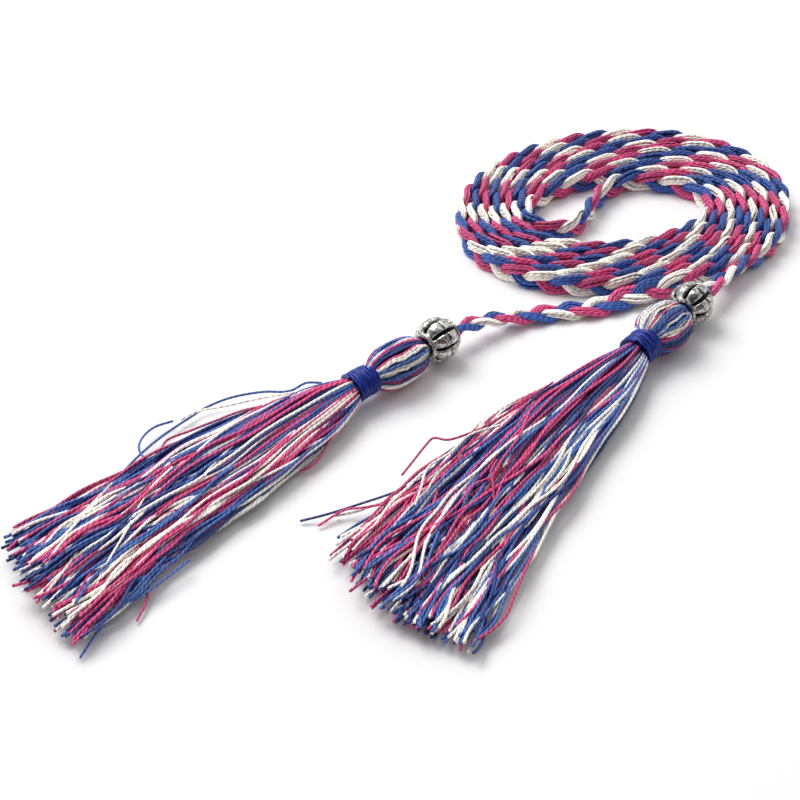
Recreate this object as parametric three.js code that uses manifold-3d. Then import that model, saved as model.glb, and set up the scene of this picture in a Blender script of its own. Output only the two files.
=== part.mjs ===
// Braided waist belt: a flat three-strand braid, folded at its middle and wound on edge into an
// oval coil, with a fluted metal bead and a tassel at each end. Millimetres, +Z up, lying on z = 0.
import * as THREE from 'three';
import Module from 'manifold-3d';

const wasm = await Module();
wasm.setup();

// Braid
const BRAID_WIDTH = 7.1; // across the flat face
const BRAID_THICKNESS = 3.06;
const STRAND_WIDTH = 2.6;
const STRAND_THICKNESS = 0.9;
const BRAID_PERIOD = 24.05; // one strand crosses the braid and comes back in this length
const BRAID_PHASE = 16; // degrees into the period at the left end
const COIL_BEND = 22; // degrees, the most that a strand turns between two of its loops
const TAIL_BEND = 11; // degrees, the same where the braid also rolls over
const PINCHED_SHARE = 0.62; // the braid's width inside a bead, as a share of its free width
const PINCH_LENGTH = 45; // along the braid, from full width to pinched

// Coil: two runs of the folded braid wound side by side, clockwise seen from above
const COIL_CENTRE = [67.1, 89.5];
const COIL_HALF_LENGTH = 25.3; // of the innermost run, at the fold
const COIL_HALF_WIDTH = 15.3;
const COIL_PITCH = 7.0; // outward growth for each turn of the pair
const COIL_TILT_START = 11; // degrees, the long axis of the innermost turn
const COIL_TILT_END = 22.5; // degrees, the long axis of the outermost turn
const COIL_STEP = 15; // degrees between route points
const INNER_RUN_START = 105; // degrees of winding where the inner run leaves the fold
const INNER_RUN_END = 1320;
const OUTER_RUN_START = 0;
const OUTER_RUN_END = 1295;

// Ends: bead centres, the headings from tassel to braid in degrees, the angle of one of the bead's
// grooves, and the sizes of the tassel's head and binding
const LEFT_END = {
  x: 10.45, y: 18.8, heading: 43.4, grooveAngle: 10,
  headLength: 19.4, headRadius: 7.1, bindingLength: 8.6, bindingRadius: 4.7
};
const RIGHT_END = {
  x: 83.9, y: 36.4, heading: 52.6, grooveAngle: 0,
  headLength: 17.0, headRadius: 7.6, bindingLength: 7.8, bindingRadius: 5.1
};
const END_AXIS_HEIGHT = 6.8;
const END_RISE_LENGTH = 34; // the braid climbs from the floor to the bead over this length

// Bead
const BEAD_RADIUS = 6.5;
const BEAD_HALF_LENGTH = 5.3;
const BEAD_BORE_RADIUS = 2.75;
const BEAD_LOBES = 8;
const BEAD_GROOVE_SHARE = 0.15; // depth of a groove between lobes, as a share of the radius

// Tassel
const HEAD_RIBS = 10;
const HEAD_RIB_SHARE = 0.045;
const HEAD_FLATTENING = 0.88; // the soft head settles a little under its weight
const BINDING_TURNS = 5; // ridges of the wound thread, coarser than the real winding
const BINDING_SIDES = 12;
const WAIST_DEPTH = 1.1; // from the outside of the binding to the bundle inside it
const LOCK_HALF_WIDTH = 2.7;
const GAP = 0.3; // between neighbouring pieces

// Floor plan of the braid where it isn't coiled, from the left bead to the coil
const LEFT_TAIL = [
  { x: 18.6, y: 26.1 }, { x: 23.2, y: 29.4 }, { x: 28.8, y: 32.7 }, { x: 34.7, y: 35.8 },
  { x: 40.7, y: 38.0 }, { x: 46.6, y: 39.3 }, { x: 52.4, y: 40.3 }, { x: 58.4, y: 41.8 },
  { x: 64.3, y: 44.1 }, { x: 70.3, y: 46.5 }, { x: 76.6, y: 48.6 }];
// The fold at the middle of the belt, from the inner run round to the outer run
const FOLD = [
  { x: 66.5, y: 104.2 }, { x: 62.8, y: 99.8 }, { x: 60.2, y: 95.0 }, { x: 58.0, y: 90.0 },
  { x: 55.6, y: 85.0 }, { x: 52.6, y: 81.2 }, { x: 48.6, y: 79.2 }, { x: 44.4, y: 79.7 },
  { x: 40.8, y: 82.2 }, { x: 38.8, y: 85.8 }];
// From the coil to the right bead
const RIGHT_TAIL = [{ x: 98.6, y: 55.9 }, { x: 94.8, y: 50.6 }, { x: 91.3, y: 45.4 }];

// Skirts, seen from above along a line from the binding: width to each side, height, and the
// reach of the locks at the left edge, in the middle and at the right edge
const LEFT_SKIRT = {
  heading: 225.8, locks: 7, length: 111, reach: [100, 107, 111],
  rows: [
    { along: 0, left: 3.6, right: 3.6, top: 9.6 },
    { along: 12, left: 8.0, right: 6.2, top: 10.0 },
    { along: 32, left: 14.2, right: 9.6, top: 9.2 },
    { along: 66, left: 18.8, right: 13.0, top: 7.6 },
    { along: 111, left: 23.0, right: 19.0, top: 5.2 }]
};
const RIGHT_SKIRT = {
  heading: 238.8, locks: 7, length: 122, reach: [109, 122, 120],
  rows: [
    { along: 0, left: 3.6, right: 3.6, top: 9.6 },
    { along: 14, left: 9.0, right: 6.2, top: 10.4 },
    { along: 36, left: 18.0, right: 8.2, top: 9.4 },
    { along: 72, left: 24.6, right: 12.4, top: 7.6 },
    { along: 122, left: 28.0, right: 18.5, top: 5.0 }]
};

// The plan above is drawn from a corner of its own; this moves it to the middle of the whole
const PLAN_CENTRE = [10.14, 17.02];

const COLOURS = {
  blue: { color: 0x3a55a8, roughness: 0.75, metalness: 0 },
  pink: { color: 0xd84a86, roughness: 0.75, metalness: 0 },
  white: { color: 0xe6e2da, roughness: 0.75, metalness: 0 },
  silver: { color: 0xb9b9b6, roughness: 0.28, metalness: 1 },
  binding: { color: 0x1c34b4, roughness: 0.4, metalness: 0 }
};

const radians = THREE.MathUtils.degToRad;
const lerp = THREE.MathUtils.lerp;
const UP = new THREE.Vector3(0, 0, 1);

function plan(x, y, z) {
  return new THREE.Vector3(x - PLAN_CENTRE[0], y - PLAN_CENTRE[1], z);
}

function headingVector(degrees) {
  return new THREE.Vector3(Math.cos(radians(degrees)), Math.sin(radians(degrees)), 0);
}

// Closed solids from loops of points

function signedVolume(points, triangles) {
  let volume = 0;
  for (let i = 0; i < triangles.length; i += 3) {
    const [a, b, c] = [points[triangles[i]], points[triangles[i + 1]], points[triangles[i + 2]]];
    volume += a.dot(new THREE.Vector3().crossVectors(b, c)) / 6;
  }
  return volume;
}

// A skin through equal loops: a ring joins the last loop to the first, otherwise the ends are capped
function skin(loops, isRing) {
  const sides = loops[0].length;
  const points = loops.flat();
  const triangles = [];
  const spans = isRing ? loops.length : loops.length - 1;
  for (let i = 0; i < spans; i++) {
    const next = (i + 1) % loops.length;
    for (let j = 0; j < sides; j++) {
      const k = (j + 1) % sides;
      const [a, b, c, d] = [i * sides + j, i * sides + k, next * sides + k, next * sides + j];
      triangles.push(a, b, c, a, c, d);
    }
  }
  if (!isRing) {
    const last = (loops.length - 1) * sides;
    for (let j = 1; j < sides - 1; j++) {
      triangles.push(0, j + 1, j, last, last + j, last + j + 1);
    }
  }
  if (signedVolume(points, triangles) < 0) {
    triangles.reverse();
  }
  const geometry = new THREE.BufferGeometry().setFromPoints(points);
  geometry.setIndex(triangles);
  return geometry;
}

function toManifold(geometry) {
  return new wasm.Manifold(new wasm.Mesh({
    numProp: 3,
    vertProperties: new Float32Array(geometry.getAttribute('position').array),
    triVerts: new Uint32Array(geometry.getIndex().array)
  }));
}

function fuse(geometries) {
  let solid = toManifold(geometries[0]);
  for (const geometry of geometries.slice(1)) {
    solid = solid.add(toManifold(geometry));
  }
  // A small void shut in between locks is filled: only the outer skin is kept
  const outer = solid.decompose().reduce((a, b) => (b.volume() > a.volume() ? b : a));
  const mesh = outer.getMesh();
  const fused = new THREE.BufferGeometry();
  fused.setAttribute('position', new THREE.BufferAttribute(mesh.vertProperties, mesh.numProp));
  fused.setIndex(Array.from(mesh.triVerts));
  return fused;
}

function piece(name, geometry, finish) {
  geometry.computeVertexNormals();
  const mesh = new THREE.Mesh(geometry, new THREE.MeshStandardMaterial(finish));
  mesh.name = name;
  return mesh;
}

// The belt's centreline

function coilPoint(degrees, outward) {
  const winding = degrees + outward * 180; // the outer run lies half a pitch further out
  const share = winding / (OUTER_RUN_END + 180);
  const growth = COIL_PITCH * winding / 360;
  const bearing = radians(180 - degrees);
  const tilt = radians(lerp(COIL_TILT_START, COIL_TILT_END, share));
  const radius = 1 / Math.hypot(
    Math.cos(bearing - tilt) / (COIL_HALF_LENGTH + growth),
    Math.sin(bearing - tilt) / (COIL_HALF_WIDTH + growth));
  return plan(COIL_CENTRE[0] + radius * Math.cos(bearing), COIL_CENTRE[1] + radius * Math.sin(bearing), 0);
}

function coilRun(from, to, outward) {
  const steps = Math.round(Math.abs(to - from) / COIL_STEP);
  return Array.from({ length: steps + 1 }, (_, i) => coilPoint(lerp(from, to, i / steps), outward));
}

function endPoint(end, distance) {
  return plan(end.x, end.y, 0).addScaledVector(headingVector(end.heading), distance);
}

const routePoints = [
  endPoint(LEFT_END, -BEAD_HALF_LENGTH), endPoint(LEFT_END, 0), endPoint(LEFT_END, BEAD_HALF_LENGTH),
  ...LEFT_TAIL.map(({ x, y }) => plan(x, y, 0)),
  ...coilRun(INNER_RUN_END, INNER_RUN_START, 0),
  ...FOLD.map(({ x, y }) => plan(x, y, 0)),
  ...coilRun(OUTER_RUN_START, OUTER_RUN_END, 1),
  ...RIGHT_TAIL.map(({ x, y }) => plan(x, y, 0)),
  endPoint(RIGHT_END, BEAD_HALF_LENGTH), endPoint(RIGHT_END, 0), endPoint(RIGHT_END, -BEAD_HALF_LENGTH)];
const route = new THREE.CatmullRomCurve3(routePoints, false, 'centripetal');
route.arcLengthDivisions = 6000;
const beltLength = route.getLength();

// How the braid lies at a distance along the belt: flat by the beads, on edge in the coil
const LEFT_ROLL = { flatUntil: 54, onEdgeFrom: 100 };
const RIGHT_ROLL = { flatUntil: 12, onEdgeFrom: 48 };

function rollAt(distance) {
  const left = THREE.MathUtils.smoothstep(distance, LEFT_ROLL.flatUntil, LEFT_ROLL.onEdgeFrom);
  const right = THREE.MathUtils.smoothstep(
    beltLength - distance, RIGHT_ROLL.flatUntil, RIGHT_ROLL.onEdgeFrom);
  return 90 * Math.min(left, right);
}

function heightAt(distance) {
  const roll = radians(rollAt(distance));
  const lying = (BRAID_WIDTH * Math.sin(roll) + BRAID_THICKNESS * Math.cos(roll)) / 2;
  const fromEnd = Math.min(distance, beltLength - distance) - 2 * BEAD_HALF_LENGTH;
  const risen = 1 - THREE.MathUtils.smoothstep(fromEnd, 0, END_RISE_LENGTH);
  return lerp(lying, END_AXIS_HEIGHT, risen);
}

function centreAt(distance) {
  const point = route.getPointAt(THREE.MathUtils.clamp(distance / beltLength, 0, 1));
  return point.setZ(heightAt(distance));
}

function frameAt(distance) {
  const step = 0.5;
  const ahead = centreAt(Math.min(distance + step, beltLength));
  const along = ahead.sub(centreAt(Math.max(distance - step, 0))).normalize();
  const side = new THREE.Vector3().crossVectors(UP, along).normalize();
  const top = new THREE.Vector3().crossVectors(along, side);
  const roll = radians(rollAt(distance));
  const across = side.clone().multiplyScalar(Math.cos(roll)).addScaledVector(top, Math.sin(roll));
  const through = top.clone().multiplyScalar(Math.cos(roll)).addScaledVector(side, -Math.sin(roll));
  return { centre: centreAt(distance), across, through };
}

function pinchAt(distance) {
  const fromEnd = Math.min(distance, beltLength - distance) - 2 * BEAD_HALF_LENGTH;
  return lerp(PINCHED_SHARE, 1, THREE.MathUtils.smoothstep(fromEnd, 0, PINCH_LENGTH));
}

// A strand of the braid: four loops for each period, at the corners of its figure of eight

const STRAND_REACH = (BRAID_WIDTH - STRAND_WIDTH) / 2;
const STRAND_LIFT = (BRAID_THICKNESS - STRAND_THICKNESS) / 2;

function strandLoop(distance, phase) {
  const turn = radians(360 * distance / BRAID_PERIOD + phase);
  const { centre, across, through } = frameAt(distance);
  const pinch = pinchAt(distance);
  const reach = STRAND_REACH * pinch * THREE.MathUtils.clamp(Math.SQRT2 * Math.sin(turn), -1, 1);
  const lift = STRAND_LIFT * Math.sin(2 * turn);
  const middle = centre.addScaledVector(across, reach).addScaledVector(through, lift);
  const halfWidth = STRAND_WIDTH * pinch / 2;
  return [[halfWidth, 0], [0, STRAND_THICKNESS / 2], [-halfWidth, 0], [0, -STRAND_THICKNESS / 2]].map(
    ([a, b]) => middle.clone().addScaledVector(across, a).addScaledVector(through, b));
}

// How far the braid bends or twists from one distance to another, in degrees
function bendBetween(from, to) {
  const [a, b] = [frameAt(from), frameAt(to)];
  return THREE.MathUtils.radToDeg(Math.max(a.across.angleTo(b.across), a.through.angleTo(b.through)));
}

function strand(name, order, finish) {
  const phase = BRAID_PHASE + order * 120;
  const quarter = BRAID_PERIOD / 4;
  const corners = [];
  for (let at = (45 - phase) * BRAID_PERIOD / 360; at < beltLength - 1; at += quarter) {
    if (at > 1) {
      corners.push(at);
    }
  }
  const distances = [0];
  for (const corner of [...corners, beltLength]) {
    const from = distances.at(-1);
    const isCoiled = rollAt(from) === 90 && rollAt(corner) === 90;
    const bend = bendBetween(from, corner) / (isCoiled ? COIL_BEND : TAIL_BEND);
    const parts = THREE.MathUtils.clamp(Math.ceil(bend), 1, 4);
    for (let i = 1; i <= parts; i++) {
      distances.push(lerp(from, corner, i / parts));
    }
  }
  return piece(name, skin(distances.map((d) => strandLoop(d, phase)), false), finish);
}

// Bodies of revolution about an end's axis; x runs from the bead's centre towards the tassel

function endFrame(end) {
  const along = headingVector(end.heading).negate();
  const side = new THREE.Vector3().crossVectors(UP, along);
  return { centre: plan(end.x, end.y, END_AXIS_HEIGHT), along, side };
}

// radiusAt gives the radius at an angle that is counted from turn, itself counted from the side
function ringLoop(end, x, radiusAt, sides, flattening = 1, turn = -Math.PI / 2) {
  const { centre, along, side } = endFrame(end);
  return Array.from({ length: sides }, (_, j) => {
    const angle = 2 * Math.PI * j / sides;
    const radius = radiusAt(angle);
    return centre.clone().addScaledVector(along, x)
      .addScaledVector(side, radius * Math.cos(angle + turn))
      .addScaledVector(UP, radius * Math.sin(angle + turn) * flattening);
  });
}

// A ribbed round with a rib at angle 0
function fluted(radius, lobes, share) {
  return (angle) => radius * (1 - share * (1 - Math.cos(lobes * angle)) / 2);
}

function bead(name, end) {
  const profile = [
    { x: -BEAD_HALF_LENGTH, radius: BEAD_BORE_RADIUS, isFluted: false },
    { x: -BEAD_HALF_LENGTH, radius: 4.1, isFluted: false },
    { x: -4.4, radius: 4.2, isFluted: false },
    { x: -3.6, radius: 5.3, isFluted: true },
    { x: -2.0, radius: 6.3, isFluted: true },
    { x: -0.5, radius: BEAD_RADIUS, isFluted: true },
    { x: 0, radius: 6.0, isFluted: true }];
  const turn = radians(end.grooveAngle) + Math.PI / BEAD_LOBES;
  const mirrored = profile.slice(0, -1).reverse().map((row) => ({ ...row, x: -row.x }));
  const loops = [...profile, ...mirrored].map(({ x, radius, isFluted }) =>
    ringLoop(end, x, fluted(radius, BEAD_LOBES, isFluted ? BEAD_GROOVE_SHARE : 0), 2 * BEAD_LOBES, 1, turn));
  return piece(name, skin(loops, true), COLOURS.silver);
}

const HEAD_START = BEAD_HALF_LENGTH + GAP;

function bindingStart(end) {
  return HEAD_START + end.headLength;
}

function skirtStart(end) {
  return bindingStart(end) + end.bindingLength;
}

// The folded head, fullest past its middle, and the bundle that goes on through the binding
const HEAD_PROFILE = [
  { lengthShare: 0, radiusShare: 0.36 },
  { lengthShare: 0.08, radiusShare: 0.7 },
  { lengthShare: 0.25, radiusShare: 0.92 },
  { lengthShare: 0.52, radiusShare: 1 },
  { lengthShare: 0.76, radiusShare: 0.95 },
  { lengthShare: 0.92, radiusShare: 0.78 }];

function head(end) {
  const waist = end.bindingRadius - WAIST_DEPTH;
  const profile = [
    ...HEAD_PROFILE.map(({ lengthShare, radiusShare }) => (
      { x: HEAD_START + end.headLength * lengthShare, radius: end.headRadius * radiusShare })),
    { x: bindingStart(end) - GAP, radius: waist },
    { x: skirtStart(end) + GAP, radius: waist },
    { x: skirtStart(end) + 4, radius: 4.8 }];
  return skin(profile.map(({ x, radius }) =>
    ringLoop(end, x, fluted(radius, HEAD_RIBS, HEAD_RIB_SHARE), 2 * HEAD_RIBS, HEAD_FLATTENING)), false);
}

// One lock of the skirt: across is -1 to 1 over the skirt's width, layer 0 lies on the floor
function lock(end, skirt, across, layer, reach) {
  const base = endPoint(end, -skirtStart(end) - 1);
  const along = headingVector(skirt.heading);
  const side = new THREE.Vector3().crossVectors(along, UP); // towards the skirt's left edge in plan
  const loops = skirt.rows.map((row, i) => {
    const isRoot = i === 0;
    const middle = (row.left - row.right) / 2;
    const spread = (row.left + row.right) / 2 - (isRoot ? 1.6 : LOCK_HALF_WIDTH);
    const halfWidth = isRoot ? 1.6 : LOCK_HALF_WIDTH * (i === skirt.rows.length - 1 ? 0.62 : 1);
    const low = isRoot ? 3.4 : 0;
    const crown = row.top * (1 - 0.3 * across * across);
    const bottom = layer === 0 ? low : lerp(low, crown, 0.42);
    const height = layer === 0 ? lerp(low, crown, 0.64) : crown;
    const distance = row.along / skirt.length * reach;
    const centre = base.clone().addScaledVector(along, distance)
      .addScaledVector(side, middle + across * spread).setZ((bottom + height) / 2);
    const halfHeight = (height - bottom) / 2;
    const outline = [[-1, 0], [-0.55, 1], [0.55, 1], [1, 0], [0.55, -1], [-0.55, -1]];
    return outline.map(([a, b]) =>
      centre.clone().addScaledVector(side, a * halfWidth).addScaledVector(UP, b * halfHeight));
  });
  return skin(loops, false);
}

function lockReach(skirt, across, order) {
  const [left, middle, right] = skirt.reach;
  const stagger = 3.5 * (order % 3);
  return lerp(middle, across > 0 ? left : right, Math.abs(across)) - stagger;
}

function tassel(name, end, skirt) {
  const locks = [];
  for (let i = 0; i < skirt.locks; i++) {
    const across = lerp(-1, 1, i / (skirt.locks - 1));
    locks.push(lock(end, skirt, across, 0, lockReach(skirt, across, i)));
  }
  for (let i = 0; i < skirt.locks - 2; i++) {
    const across = lerp(-0.72, 0.72, i / (skirt.locks - 3));
    locks.push(lock(end, skirt, across, 1, lockReach(skirt, across, i + 1)));
  }
  return piece(name, fuse([head(end), ...locks]), COLOURS.blue);
}

function binding(name, end) {
  const inner = (end.bindingRadius - WAIST_DEPTH + GAP) / Math.cos(Math.PI / BINDING_SIDES);
  const start = bindingStart(end) + GAP / 2;
  const length = end.bindingLength - GAP;
  const profile = [{ x: start, radius: inner }];
  for (let i = 0; i <= 2 * BINDING_TURNS; i++) {
    profile.push({
      x: start + length * i / (2 * BINDING_TURNS),
      radius: end.bindingRadius - (i % 2 === 0 ? 0.25 : 0)
    });
  }
  profile.push({ x: start + length, radius: inner });
  const loops = profile.map(({ x, radius }) =>
    ringLoop(end, x, () => radius, BINDING_SIDES, HEAD_FLATTENING));
  return piece(name, skin(loops, true), COLOURS.binding);
}

const belt = new THREE.Group();
belt.add(
  strand('strand_blue', 0, COLOURS.blue),
  strand('strand_pink', 1, COLOURS.pink),
  strand('strand_white', 2, COLOURS.white),
  bead('bead_left', LEFT_END),
  bead('bead_right', RIGHT_END),
  tassel('tassel_left', LEFT_END, LEFT_SKIRT),
  tassel('tassel_right', RIGHT_END, RIGHT_SKIRT),
  binding('binding_left', LEFT_END),
  binding('binding_right', RIGHT_END));

export default belt;
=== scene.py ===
# %% [markdown]
# # Braided tassel belt
# A flat braid of three cotton strands is folded at its middle and wound on edge into an oval coil.
# Each end passes through a fluted metal bead into a tassel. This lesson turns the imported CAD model,
# which holds the true places and sizes, into the finished look: hundreds of separate threads swept
# along paths by Geometry Nodes, two antiqued beads and two satin bindings.

# %% The CAD frame
import math

import bpy
import numpy as np
from mathutils import Matrix, Vector


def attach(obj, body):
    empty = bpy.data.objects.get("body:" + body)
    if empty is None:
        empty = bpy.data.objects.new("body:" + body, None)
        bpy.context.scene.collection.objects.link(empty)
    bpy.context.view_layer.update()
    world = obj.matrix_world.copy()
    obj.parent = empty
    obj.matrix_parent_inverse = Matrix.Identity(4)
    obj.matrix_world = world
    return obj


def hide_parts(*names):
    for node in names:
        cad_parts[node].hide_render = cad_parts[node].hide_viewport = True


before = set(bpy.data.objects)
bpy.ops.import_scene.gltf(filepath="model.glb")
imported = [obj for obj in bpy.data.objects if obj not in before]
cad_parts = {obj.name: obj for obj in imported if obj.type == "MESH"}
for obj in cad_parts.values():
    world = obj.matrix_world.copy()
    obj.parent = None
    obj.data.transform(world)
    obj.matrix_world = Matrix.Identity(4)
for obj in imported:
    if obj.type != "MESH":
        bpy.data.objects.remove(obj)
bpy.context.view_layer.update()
print("CAD nodes:", sorted(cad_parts))

# %% [markdown]
# The sizes below repeat those of the CAD source, in millimetres, because the threads must lie where
# its solids are. The plan of the belt is drawn from a corner of its own, and `PLAN_CENTRE` moves it
# to the middle of the whole.

# %% Sizes shared with the CAD source
MM = 0.001
PLAN_CENTRE = (10.14, 17.02)
BRAID_WIDTH = 7.1
BRAID_THICKNESS = 3.06
BRAID_PERIOD = 24.05
BRAID_PHASE = 16.0
PINCHED_SHARE = 0.62
PINCH_LENGTH = 45.0

COIL_CENTRE = (67.1, 89.5)
COIL_HALF_LENGTH = 25.3
COIL_HALF_WIDTH = 15.3
COIL_PITCH = 7.0
COIL_TILT_START = 11.0
COIL_TILT_END = 22.5
COIL_STEP = 15.0
INNER_RUN = (1320.0, 105.0)  # degrees of winding, in the order in which the belt passes them
OUTER_RUN = (0.0, 1295.0)

END_AXIS_HEIGHT = 6.8
END_RISE_LENGTH = 34.0
BEAD_HALF_LENGTH = 5.3
BEAD_BORE_RADIUS = 2.75
HEAD_START = 5.6  # from the bead's centre
HEAD_FLATTENING = 0.88
ENDS = {
    "left": {"x": 10.45, "y": 18.8, "heading": 43.4, "groove_angle": 10.0, "head_length": 19.4,
             "head_radius": 7.1, "binding_length": 8.6, "binding_radius": 4.7},
    "right": {"x": 83.9, "y": 36.4, "heading": 52.6, "groove_angle": 0.0, "head_length": 17.0,
              "head_radius": 7.6, "binding_length": 7.8, "binding_radius": 5.1},
}
LEFT_TAIL = [(18.6, 26.1), (23.2, 29.4), (28.8, 32.7), (34.7, 35.8), (40.7, 38.0), (46.6, 39.3),
             (52.4, 40.3), (58.4, 41.8), (64.3, 44.1), (70.3, 46.5), (76.6, 48.6)]
FOLD = [(66.5, 104.2), (62.8, 99.8), (60.2, 95.0), (58.0, 90.0), (55.6, 85.0), (52.6, 81.2),
        (48.6, 79.2), (44.4, 79.7), (40.8, 82.2), (38.8, 85.8)]
RIGHT_TAIL = [(98.6, 55.9), (94.8, 50.6), (91.3, 45.4)]
ROLL_LEFT = (54.0, 100.0)  # flat up to the first distance from the end, on edge from the second
ROLL_RIGHT = (12.0, 48.0)

# %% [markdown]
# The photograph looks down at the belt at 38 degrees with a long lens. Its middle pixel is the
# origin of the plan, so the camera aims there, and its distance follows from the field of view and
# from how many pixels show a millimetre.

# %% Camera
VIEW_ELEVATION = 38.0
FIELD_OF_VIEW = 20.0
FRAME_PIXELS = 800
PIXELS_PER_MM = 3.6


def plan(x, y, z=0.0):
    """A point of the plan, in millimetres, as metres in the row frame."""
    return Vector((x - PLAN_CENTRE[0], y - PLAN_CENTRE[1], z)) * MM


def put(name, data):
    """A new object in the scene."""
    made = bpy.data.objects.new(name, data)
    bpy.context.scene.collection.objects.link(made)
    return made


def add_camera():
    data = bpy.data.cameras.new("photo_camera")
    data.angle = math.radians(FIELD_OF_VIEW)
    data.clip_end = 10
    camera = put("photo_camera", data)
    half_frame = FRAME_PIXELS / 2 / PIXELS_PER_MM
    distance = half_frame / math.tan(math.radians(FIELD_OF_VIEW) / 2) * MM
    tilt = math.radians(VIEW_ELEVATION)
    camera.location = plan(0, 0) + Vector((0, -math.cos(tilt), math.sin(tilt))) * distance
    camera.rotation_euler = (math.pi / 2 - tilt, 0, 0)
    bpy.context.scene.camera = camera
    return distance


print("camera distance, m:", round(add_camera(), 4))

# %% [markdown]
# The real picture is a product shot on white: soft light from every side but the front, a little
# stronger from the upper left, and soft shadows to the lower right. The world gives the first. It
# is white, with one fixed darker side in front of the belt, which the polished beads reflect as
# their black. One large area lamp gives the second. Colours are shown as they are, without a film
# look, so a hex value below comes out as the same hex value in full light.

# %% Floor and light
FLOOR_SIZE = 6.0  # metres, like the other lengths in this cell
DARK_SIDE = (0.22, -0.85, 0.48)  # to the front, a little to the right and up
DARK_EDGE, DARK_MIDDLE = 0.35, 0.85  # how nearly a direction points there
BRIGHT_SKY, DARK_SKY = 0.95, 0.08
KEY_PLACE = (-0.5, 0.5, 1.0)
KEY_SIZE = 0.8
KEY_POWER = 11  # watts


def linear(hexcode):
    """An sRGB hex colour as linear RGBA."""
    parts = [int(hexcode[i:i + 2], 16) / 255 for i in (0, 2, 4)]
    return [c / 12.92 if c <= 0.04045 else ((c + 0.055) / 1.055) ** 2.4 for c in parts] + [1.0]


def fill(node, inputs):
    """Links or sets a node's inputs, given by name or, in a list, in their order."""
    pairs = inputs.items() if isinstance(inputs, dict) else enumerate(inputs)
    for key, value in pairs:
        if isinstance(value, bpy.types.Node):
            value = value.outputs[0]
        if isinstance(value, bpy.types.NodeSocket):
            node.id_data.links.new(value, node.inputs[key])
        else:
            node.inputs[key].default_value = value


def add(tree, kind, inputs=(), operation=None, **settings):
    """Adds a node with its settings and inputs. A kind without "Node" in it is a shader node."""
    made = tree.nodes.new(kind if "Node" in kind else "ShaderNode" + kind)
    if operation:
        made.operation = operation
    for name, value in settings.items():
        setattr(made, name, value)
    fill(made, inputs)
    return made


def new_material(name):
    """An empty material with its shader, and the tree to build on."""
    material = bpy.data.materials.new(name)
    material.use_nodes = True
    tree = material.node_tree
    tree.nodes.clear()
    shader = add(tree, "BsdfPrincipled")
    add(tree, "OutputMaterial", {"Surface": shader})
    return material, tree, shader


def add_floor():
    material, tree, shader = new_material("matt_white_sweep")
    fill(shader, {"Base Color": linear("F4F4F4"), "Roughness": 0.9, "Specular IOR Level": 0.1})
    half = FLOOR_SIZE / 2
    mesh = bpy.data.meshes.new("floor")
    mesh.from_pydata([(-half, -half, 0), (half, -half, 0), (half, half, 0), (-half, half, 0)], [],
                     [(0, 1, 2, 3)])
    mesh.materials.append(material)
    put("floor", mesh)


def add_key_light():
    data = bpy.data.lights.new("key_softbox", "AREA")
    data.shape = "DISK"
    data.size = KEY_SIZE
    data.energy = KEY_POWER
    lamp = put("key_softbox", data)
    lamp.location = KEY_PLACE
    lamp.rotation_euler = (-Vector(KEY_PLACE)).to_track_quat("-Z", "Y").to_euler()


def add_world():
    world = bpy.data.worlds.new("white_studio")
    world.use_nodes = True
    tree = world.node_tree
    towards = add(tree, "VectorMath", [add(tree, "TexCoord").outputs["Generated"], DARK_SIDE],
                  "DOT_PRODUCT")
    strength = add(tree, "MapRange", {"Value": towards.outputs["Value"], "From Min": DARK_EDGE,
                                      "From Max": DARK_MIDDLE, "To Min": BRIGHT_SKY,
                                      "To Max": DARK_SKY}, interpolation_type="SMOOTHSTEP")
    fill(tree.nodes["Background"], {"Color": linear("FFFFFF"), "Strength": strength})
    bpy.context.scene.world = world


bpy.context.scene.view_settings.view_transform = "Standard"
add_floor()
add_world()
add_key_light()
print("floor, world and one lamp")

# %% [markdown]
# The braid's centreline is one smooth curve through route points: the left tail, the inner run of
# the coil, the fold, the outer run and the right tail. The coil's points come from a rule, an oval
# that grows by one pitch for each turn. The curve is a centripetal Catmull-Rom spline, which passes
# through every point without overshooting, and it is cut into equal steps.

# %% Route of the braid
ROUTE_STEP = 1.5  # mm


def coil_point(degrees, outward):
    winding = degrees + outward * 180
    share = winding / (OUTER_RUN[1] + 180)
    growth = COIL_PITCH * winding / 360
    heading = math.radians(180 - degrees)
    tilt = math.radians(COIL_TILT_START + (COIL_TILT_END - COIL_TILT_START) * share)
    radius = 1 / math.hypot(math.cos(heading - tilt) / (COIL_HALF_LENGTH + growth),
                            math.sin(heading - tilt) / (COIL_HALF_WIDTH + growth))
    return (COIL_CENTRE[0] + radius * math.cos(heading),
            COIL_CENTRE[1] + radius * math.sin(heading))


def coil_run(start, end, outward):
    steps = round(abs(end - start) / COIL_STEP)
    return [coil_point(start + (end - start) * i / steps, outward) for i in range(steps + 1)]


def end_point(end, distance):
    angle = math.radians(end["heading"])
    return (end["x"] + distance * math.cos(angle), end["y"] + distance * math.sin(angle))


def smooth_path(points, per_span=24):
    """A centripetal Catmull-Rom curve through the points, as many fine steps."""
    p = np.array(points)
    p = np.vstack([2 * p[0] - p[1], p, 2 * p[-1] - p[-2]])
    out = []
    for i in range(1, len(p) - 2):
        a, b, c, d = p[i - 1:i + 3]
        k0, k1, k2 = (max(np.sum((v - u) ** 2), 1e-9) ** 0.25 for u, v in ((a, b), (b, c), (c, d)))
        m1 = ((b - a) / k0 - (c - a) / (k0 + k1) + (c - b) / k1) * k1
        m2 = ((c - b) / k1 - (d - b) / (k1 + k2) + (d - c) / k2) * k1
        t = (np.arange(per_span) / per_span)[:, None]
        out.append(b + m1 * t + (3 * (c - b) - 2 * m1 - m2) * t ** 2
                   + (2 * (b - c) + m1 + m2) * t ** 3)
    return np.vstack(out + [p[-2][None]])


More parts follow.
